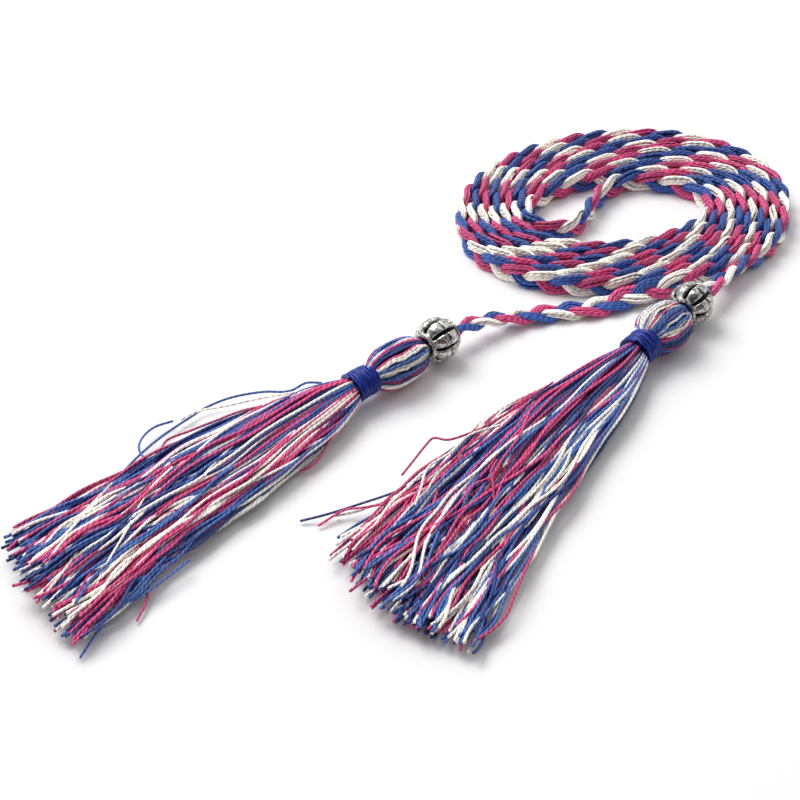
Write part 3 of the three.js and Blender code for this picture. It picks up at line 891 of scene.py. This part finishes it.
def turned_piece(name, which, outline, material):
    """A closed, slightly flat body turned about an end's axis, from (along, radius) rows."""
    centre, along, side = end_frame(which)
    count = CORE_SIDES
    angles = (np.arange(count) * 2 * np.pi / count)[:, None]
    spin = np.cos(angles) * side + np.sin(angles) * np.array([0, 0, HEAD_FLATTENING])
    rings = [centre + along * a + spin * r for a, r in outline]
    points = np.vstack(rings + [[centre + along * outline[0][0]],
                                [centre + along * outline[-1][0]]])
    first_pole, last_pole = len(points) - 2, len(points) - 1
    faces = []
    for i in range(len(outline) - 1):
        for j in range(count):
            k = (j + 1) % count
            a, b = i * count, (i + 1) * count
            faces.append((a + j, a + k, b + k, b + j))
    last = (len(outline) - 1) * count
    for j in range(count):
        k = (j + 1) % count
        faces.append((first_pole, k, j))
        faces.append((last_pole, last + j, last + k))
    mesh = bpy.data.meshes.new(name)
    mesh.from_pydata(in_row(points).tolist(), [], [f[::-1] for f in faces])
    mesh.materials.append(material)
    return put(name, mesh)


def add_head(which):
    centre, along, side = end_frame(which)
    outline = head_outline(which, HEAD_THREAD_RADIUS)
    meridian = centre + along * outline[:, :1] + side * outline[:, 1:]
    share = np.linspace(0, 1, len(outline))
    mesh = line_mesh("head_line_" + which, [meridian],
                     {"share": share, "distance": outline[:, 0] - HEAD_START})
    threads = grow("tassel_head_" + which, mesh, head_tree, {
        "Axis": along.tolist(), "Centre": in_row(centre).tolist(),
        "Seed": HEAD_SEEDS[which], "Material": tassel_cotton})
    # The core has no ply, tone or dye, so it comes out in the darkest dye and tone: painted shade.
    outline = head_outline(which, CORE_DEPTH)
    return threads, turned_piece("tassel_shade_core_" + which, which, outline, tassel_cotton)


for which in SIDES:
    for piece in (add_skirt(which), *add_head(which)):
        stand_for(piece, "tassel_" + which)

# %% [markdown]
# The binding's thread is rayon satin: smooth, tightly twisted filaments that show a bright line
# along each turn and dark between two turns. The ridges of its twist are there as a faint bump, and
# the colour follows them with a painted highlight on their crowns and painted shade between them.

# %% Satin thread
satin, tree, shader = new_material("rayon_satin_royal_blue")
place = add(tree, "Attribute", attribute_name="ply")
tone = add(tree, "Attribute", attribute_name="tone")
ridges = ply_ridges(tree, place.outputs["Vector"])
# Painted shade between the ridges of the twist, and a painted highlight on their crowns.
shade = add(tree, "MapRange", {"Value": ridges, "To Min": 0.4, "To Max": 1.3})
turns = add(tree, "MapRange",
            {"Value": tone.outputs["Fac"], "From Min": 0.3, "From Max": 0.7, "To Min": 0.3})
shade = add(tree, "Math", [shade, turns], "MULTIPLY")
tinted = add(tree, "VectorMath", [linear("0535AC")[:3], shade], "MULTIPLY")
bump = add(tree, "Bump", {"Strength": 0.3, "Distance": 0.00006, "Height": ridges})
fill(shader, {"Base Color": tinted, "Normal": bump, "Roughness": 0.28, "IOR": 1.53,
              "Specular IOR Level": 0.35})
print("satin material:", len(tree.nodes), "nodes")

# %% [markdown]
# The thread is wound close round the waist, eleven turns. A spiral with that many turns is one
# node, so the tree only makes the turns a little uneven, sweeps thread along them and turns the
# whole to the tassel's axis. A plain drum under the thread closes the gaps between turns. It has
# no ply or tone of its own, so the satin comes out at its darkest on it, as painted shade in the
# gaps.

# %% Binding tree
SATIN_SWELL = 0.035  # of the radius, up or down from turn to turn
SATIN_DRIFT = 160.0  # changes in a metre of thread, so one each 6 mm

binding_tree, given = new_tree("Wound binding", {
    "Turns": ("NodeSocketFloat", 11.0),
    "Head Radius": ("NodeSocketFloat", 0.0045),
    "Skirt Radius": ("NodeSocketFloat", 0.0047),
    "Length": ("NodeSocketFloat", 0.0077),
    "Wander": ("NodeSocketFloat", 0.0005),
    "Thread Radius": ("NodeSocketFloat", 0.00038),
    "Place": ("NodeSocketVector", None),
    "Turn": ("NodeSocketRotation", None),
    "Material": ("NodeSocketMaterial", None)})
tree = binding_tree
spiral = add(tree, "GeometryNodeCurveSpiral",
             {"Resolution": 36, "Rotations": given["Turns"], "Start Radius": given["Head Radius"],
              "End Radius": given["Skirt Radius"], "Height": given["Length"]})
lay = add(tree, "GeometryNodeSplineParameter").outputs["Length"]
noise = add(tree, "TexNoise",
            {"Vector": add(tree, "CombineXYZ", [lay]), "Scale": SATIN_DRIFT, "Detail": 1.0})
noise = add(tree, "SeparateXYZ", [noise.outputs["Color"]])
off = [add(tree, "MapRange", {"Value": noise.outputs[axis], "From Min": 0.3, "From Max": 0.7,
                              "To Min": -1.0}) for axis in ("X", "Y")]
slack = add(tree, "Math", [off[0], given["Wander"]], "MULTIPLY")
swell = add(tree, "Math", [off[1], SATIN_SWELL, 1.0], "MULTIPLY_ADD")
spread = add(tree, "VectorMath", [add(tree, "GeometryNodeInputPosition"),
                                  add(tree, "CombineXYZ", [swell, swell, 1.0])], "MULTIPLY")
wound = add(tree, "GeometryNodeSetPosition",
            {"Geometry": spiral, "Position": spread.outputs["Vector"],
             "Offset": add(tree, "CombineXYZ", {2: slack})})
placed = add(tree, "GeometryNodeTransform",
             {"Geometry": wound, "Translation": given["Place"], "Rotation": given["Turn"],
              "Scale": (HEAD_FLATTENING, 1.0, 1.0)})
lay = add(tree, "Math", [lay, 1 / MM], "MULTIPLY")
sweep_threads(tree, given, placed.outputs[0], lay.outputs[0], noise.outputs["Z"],
              noise.outputs["Z"])
print("binding tree:", len(tree.nodes), "nodes")

# %% The two bindings
WIND_MARGIN = 0.6  # mm from each end of the CAD binding to the centre of the first or last turn
WIND_DEPTH = 0.4  # mm from its outside to the centre of the thread
WIND_TAPER = 0.1  # mm less by the head and more by the skirt
DRUM_MARGIN = 0.7  # mm from each end of the CAD binding to the drum
DRUM_DEPTHS = (0.3, 0.2)  # mm under the winding's mean radius, by the head and by the skirt


def add_binding(which):
    centre, along, _ = end_frame(which)
    end = ENDS[which]
    up = Vector((0, 0, 1))
    turn = Matrix((up, Vector(along).cross(up), Vector(along))).transposed()
    place = in_row(centre + along * (binding_start(which) + WIND_MARGIN))
    empty = bpy.data.meshes.new("binding_base")
    radius = end["binding_radius"] - WIND_DEPTH
    winding = grow("binding_thread_" + which, empty, binding_tree, {
        "Place": list(place), "Turn": list(turn.to_euler()), "Material": satin,
        "Head Radius": (radius - WIND_TAPER) * MM, "Skirt Radius": (radius + WIND_TAPER) * MM,
        "Length": (end["binding_length"] - 2 * WIND_MARGIN) * MM})
    rows = [(binding_start(which) + DRUM_MARGIN, radius - DRUM_DEPTHS[0]),
            (skirt_start(which) - DRUM_MARGIN, radius - DRUM_DEPTHS[1])]
    # The drum has no ply or tone, so the satin is at its darkest on it: painted shade between turns.
    return winding, turned_piece("binding_shade_drum_" + which, which, rows, satin)


for which in SIDES:
    for piece in add_binding(which):
        stand_for(piece, "binding_" + which)

# %% [markdown]
# The beads are cast metal: eight fat lobes round the axis, cut in two by a groove about the middle,
# with a plain collar at each end. The casting is dipped dark and then polished, so metal is bright
# where it stands proud and black in the grooves. The shape is a rule of the angle and the place
# along the axis, so it is computed point by point, and the depth of the groove is kept for the
# material.

# %% Beads
BEAD_LOBES = 8
BEAD_AROUND = 240
BEAD_STEP = 0.14  # mm, like the values below, apart from shares
GROOVE_DEPTH = 1.0
GROOVE_EDGES = (0.2, 0.85)  # from a groove's middle, where it starts to rise and where it ends
EQUATOR_DEPTH = 0.6  # of the groove about the middle, as a share of the others
EQUATOR_EDGES = (0.06, 0.42)
LOBE_END = 4.35  # from the bead's middle
LOBE_FADE = 0.7
LOBE_SWELL = 0.4
BORE_STAIN = 0.9  # how dark the bore is, as a share
# The film is tarnish; the right bead's larger share is painted dark reflection.
TARNISH_AND_DARK_REFLECTION = {"left": 0.02, "right": 0.05}  # added to the noise of the film on the lobes
BEAD_PROFILE = [(-5.3, 4.1), (-5.0, 4.45), (-4.5, 4.45), (-4.2, 4.3), (-3.6, 5.3), (-2.7, 6.0),
                (-1.5, 6.4), (0.0, 6.5)]


def bead_surface():
    """Rows of (along, radius), with how much of the lobes and of the middle groove each row has."""
    half = np.array(BEAD_PROFILE)
    full = np.vstack([half, half[:-1][::-1] * [-1, 1]])
    outline, _ = even_steps(smooth_path(full), BEAD_STEP)
    from_middle = np.abs(outline[:, 0])
    lobed = ease(LOBE_END - from_middle, 0.0, LOBE_FADE)
    return outline, lobed, 1 - ease(from_middle, *EQUATOR_EDGES)


def add_bead(which):
    centre, along, side = end_frame(which)
    outline, lobed, equator = bead_surface()
    angles = np.arange(BEAD_AROUND) * 2 * np.pi / BEAD_AROUND
    phase = (angles - math.radians(ENDS[which]["groove_angle"])) * BEAD_LOBES / (2 * np.pi)
    phase = (phase + 0.5) % 1 - 0.5
    off_groove = np.abs(phase)[None, :] * 2 * np.pi / BEAD_LOBES * outline[:, 1:2]
    meridian = (1 - ease(off_groove, *GROOVE_EDGES)) * lobed[:, None]
    depth = np.maximum(meridian, EQUATOR_DEPTH * (equator * lobed)[:, None])
    pillow = LOBE_SWELL * np.sin(np.pi * np.abs(phase))[None, :] * lobed[:, None]
    pillow = pillow - LOBE_SWELL * lobed[:, None]
    radius = outline[:, 1:2] - GROOVE_DEPTH * depth + pillow
    bore = [(BEAD_HALF_LENGTH, BEAD_BORE_RADIUS), (-BEAD_HALF_LENGTH, BEAD_BORE_RADIUS)]
    rows = np.concatenate([outline[:, 0], [b[0] for b in bore]])
    radius = np.vstack([radius] + [np.full((1, BEAD_AROUND), b[1]) for b in bore])
    groove = np.vstack([depth, np.full((2, BEAD_AROUND), BORE_STAIN)])
    spin = np.cos(angles)[:, None] * side + np.sin(angles)[:, None] * np.array([0, 0, 1.0])
    points = centre + along * rows[:, None, None] + spin[None] * radius[:, :, None]
    count = len(rows)
    faces = []
    for i in range(count):
        here, there = i * BEAD_AROUND, (i + 1) % count * BEAD_AROUND
        for j in range(BEAD_AROUND):
            k = (j + 1) % BEAD_AROUND
            faces.append((there + j, there + k, here + k, here + j))
    mesh = bpy.data.meshes.new("bead_cast_" + which)
    mesh.from_pydata(in_row(points.reshape(-1, 3)).tolist(), [], faces)
    store(mesh, "groove", groove.ravel())
    store(mesh, "tarnish_and_dark_reflection", np.full(groove.size, TARNISH_AND_DARK_REFLECTION[which]))
    mesh.materials.append(antique_silver)
    mesh.shade_smooth()
    print(mesh.name, 2 * len(faces), "triangles")
    return put(mesh.name, mesh)


# %% [markdown]
# Antique silver on a zinc casting: polished, slightly dented metal with the black patina left in
# every groove and as a thin film in patches on the lobes. The `groove` attribute and one noise
# place the patina. A second noise and the bead's own `tarnish_and_dark_reflection` place the film,
# which is heavier on
# the right bead: the film is tarnish, and its extra weight on the right bead is painted dark
# reflection. A third noise makes the shallow dents that break up what the bead reflects.

# %% Antique silver
WEAR_SCALE = DENT_SCALE = 900.0  # patches and dents a metre, so about one each 1.1 mm
FILM_SCALE = 760.0  # and one each 1.3 mm

antique_silver, tree, shader = new_material("antiqued_silver_plate")
groove = add(tree, "Attribute", attribute_name="groove")
spot = add(tree, "TexCoord").outputs["Object"]
wear = add(tree, "TexNoise", {"Vector": spot, "Scale": WEAR_SCALE, "Detail": 4.0})
edge = add(tree, "MapRange", {"Value": wear.outputs[0], "From Min": 0.3, "From Max": 0.7,
                              "To Min": -0.2, "To Max": 0.2})
film = add(tree, "TexNoise", {"Vector": spot, "Scale": FILM_SCALE, "Detail": 6.0, "Roughness": 0.72,
                              "Distortion": 0.8})
# Tarnish film, with painted dark reflection in the right bead's extra share.
film = add(tree, "Math", [film, add(tree, "Attribute", attribute_name="tarnish_and_dark_reflection").outputs["Fac"]],
           "ADD")
film = add(tree, "MapRange", {"Value": film, "From Min": 0.46, "From Max": 0.62, "To Max": 0.82})
stain = add(tree, "Math", [groove.outputs["Fac"], edge], "ADD")
stain = add(tree, "MapRange", {"Value": stain, "From Min": 0.22, "From Max": 0.6})
stain = add(tree, "Math", [stain, film], "MAXIMUM")
colour = add(tree, "Mix", {0: stain, 6: linear("DEDCD7"), 7: linear("1B1A18")}, data_type="RGBA")
rough = add(tree, "MapRange", {"Value": stain, "To Min": 0.15, "To Max": 0.34})
dents = add(tree, "TexNoise", {"Vector": spot, "Scale": DENT_SCALE, "Detail": 3.0})
bump = add(tree, "Bump", {"Strength": 0.8, "Distance": 0.00045, "Height": dents.outputs[0]})
fill(shader, {"Base Color": colour.outputs[2], "Roughness": rough, "Metallic": 1.0, "Normal": bump})

for which in SIDES:
    stand_for(add_bead(which), "bead_" + which)

# %% [markdown]
# A few threads have sprung out of each skirt: long curls beside it and some that cross over the
# top. Chance would not put them where the real ones are, so each is given as a few points,
# smoothed to a curve, and a small tree sweeps thread along all of them at once. A cut end rests on
# the floor.

# %% Loose threads
BLUE, LIGHT_BLUE, PINK, WHITE = 0.1, 0.4, 0.6, 0.9  # places on the dye ramp
LOOSE = {
    "left": [
        (LIGHT_BLUE, [
            (-21.5, -2.6, 8.0), (-25.9, -1.6, 7.2), (-30.2, -3.5, 5.9), (-38.1, -2.3, 4.6),
            (-46.9, -3.3, 3.3), (-53.6, -6.1, 2.0), (-57.2, -9.5, 1.6), (-63.3, -16.8, 1.8),
            (-68.9, -24.9, 1.9), (-74.0, -35.2, 2.4), (-77.6, -43.0, 2.3), (-81.2, -49.3, 1.5)]),
        (LIGHT_BLUE, [
            (-62.0, -34.0, 4.0), (-67.0, -31.6, 4.2), (-69.9, -26.0, 3.7), (-69.4, -20.2, 3.1),
            (-66.6, -15.2, 2.6), (-62.0, -11.9, 2.0)]),
        (WHITE, [
            (-24.6, -5.8, 8.0), (-37.7, -7.4, 6.5), (-47.8, -9.1, 5.0), (-55.8, -9.8, 3.5),
            (-60.1, -11.4, 2.0)]),
        (PINK, [
            (-30.0, -9.8, 7.0), (-42.1, -12.6, 6.4), (-50.0, -16.6, 5.8), (-56.6, -20.2, 5.2),
            (-62.8, -23.7, 4.6), (-64.2, -26.4, 3.3), (-66.9, -27.0, 2.7), (-69.7, -29.7, 1.5)]),
        (WHITE, [
            (-36.9, -22.8, 9.4), (-43.7, -30.5, 9.0), (-50.9, -42.1, 8.4), (-54.4, -48.9, 7.0)]),
        (WHITE, [
            (-59.6, -39.6, 8.6), (-64.7, -48.6, 8.6), (-69.6, -64.9, 8.0), (-72.0, -71.8, 7.4),
            (-74.5, -79.7, 6.6), (-76.4, -90.7, 5.2)]),
        (WHITE, [
            (-74.9, -44.9, 7.6), (-79.3, -53.2, 7.6), (-84.1, -60.9, 7.0), (-90.8, -74.0, 5.4)]),
        (PINK, [
            (-47.9, -50.5, 5.0), (-55.9, -65.3, 4.3), (-60.3, -74.0, 3.7), (-62.5, -78.1, 3.0),
            (-62.9, -83.4, 2.0), (-64.8, -89.7, 1.0)]),
        (LIGHT_BLUE, [
            (-53.0, -70.6, 4.0), (-62.2, -81.1, 3.4), (-69.0, -87.7, 2.8), (-73.4, -93.8, 2.2),
            (-77.4, -102.6, 1.0)]),
        (WHITE, [
            (-36.0, -46.2, 4.0), (-40.0, -49.7, 3.2), (-43.4, -53.6, 2.5), (-46.9, -56.6, 1.8),
            (-50.9, -58.5, 1.0)]),
        (PINK, [
            (-14.9, -16.1, 4.0), (-18.9, -21.7, 3.2), (-22.4, -30.1, 2.5), (-25.0, -32.1, 1.8),
            (-27.7, -32.4, 1.0)])],
    "right": [
        (PINK, [
            (42.0, -3.0, 8.5), (32.6, -12.0, 8.0), (24.2, -19.8, 7.3), (16.6, -24.1, 6.6),
            (12.6, -24.9, 5.9), (8.9, -23.1, 5.1), (6.7, -25.7, 4.4), (3.5, -31.1, 3.7),
            (0.5, -36.1, 3.0)]),
        (BLUE, [
            (21.3, -30.1, 6.0), (10.6, -36.4, 5.0), (0.0, -43.4, 4.0), (-10.4, -47.8, 3.0),
            (-19.5, -51.0, 2.0), (-25.9, -52.3, 1.0)]),
        (PINK, [
            (13.2, -37.6, 6.0), (2.6, -45.5, 5.2), (-3.9, -49.0, 4.3), (-10.4, -50.0, 3.5),
            (-14.3, -49.8, 2.7), (-21.2, -54.2, 1.0)]),
        (WHITE, [
            (13.1, -40.9, 6.0), (2.6, -46.3, 4.8), (-5.2, -48.0, 3.5), (-11.7, -50.1, 2.2),
            (-16.9, -50.3, 1.0)]),
        (WHITE, [
            (26.8, -22.4, 9.0), (18.6, -26.6, 9.0), (13.2, -34.1, 9.0), (7.3, -39.8, 8.6),
            (5.4, -47.4, 8.0), (3.9, -52.9, 7.0)]),
        (PINK, [
            (35.0, -16.8, 9.6), (31.3, -28.5, 9.6), (26.2, -38.5, 9.4), (23.4, -44.4, 9.2),
            (19.4, -46.9, 9.0), (15.4, -53.8, 8.8), (11.5, -59.3, 8.4), (7.6, -64.8, 7.6)]),
        (PINK, [
            (25.4, -37.9, 9.6), (23.7, -42.4, 9.6), (24.1, -47.7, 9.2), (24.2, -52.1, 7.6)])],
}
LOOSE_STEP = 1.2
LOOSE_TONES = (0.4, 0.6, 0.8)

loose_tree, given = new_tree("Loose threads", {
    "Thread Radius": ("NodeSocketFloat", 0.00034), "Material": ("NodeSocketMaterial", None)})
tree = loose_tree
path = add(tree, "GeometryNodeMeshToCurve", {"Mesh": given["Geometry"]})
lay, tone, dye = (
    add(tree, "GeometryNodeInputNamedAttribute", {"Name": label}, data_type="FLOAT").outputs[0]
    for label in ("distance", "shade", "colour"))
sweep_threads(tree, given, path.outputs[0], lay, tone, dye)


def add_loose(which):
    lines, lay, shade, colour = [], [], [], []
    for order, (dye, points) in enumerate(LOOSE[which]):
        line, at = even_steps(smooth_path(points), LOOSE_STEP)
        lines.append(line)
        lay.append(at)
        shade.append(np.full(len(line), LOOSE_TONES[order % 3]))
        colour.append(np.full(len(line), dye))
    mesh = line_mesh("loose_lines_" + which, lines, {
        "distance": np.concatenate(lay), "shade": np.concatenate(shade),
        "colour": np.concatenate(colour)})
    return grow("tassel_loose_" + which, mesh, loose_tree, {"Material": tassel_cotton})


for which in SIDES:
    stand_for(add_loose(which), "tassel_" + which)
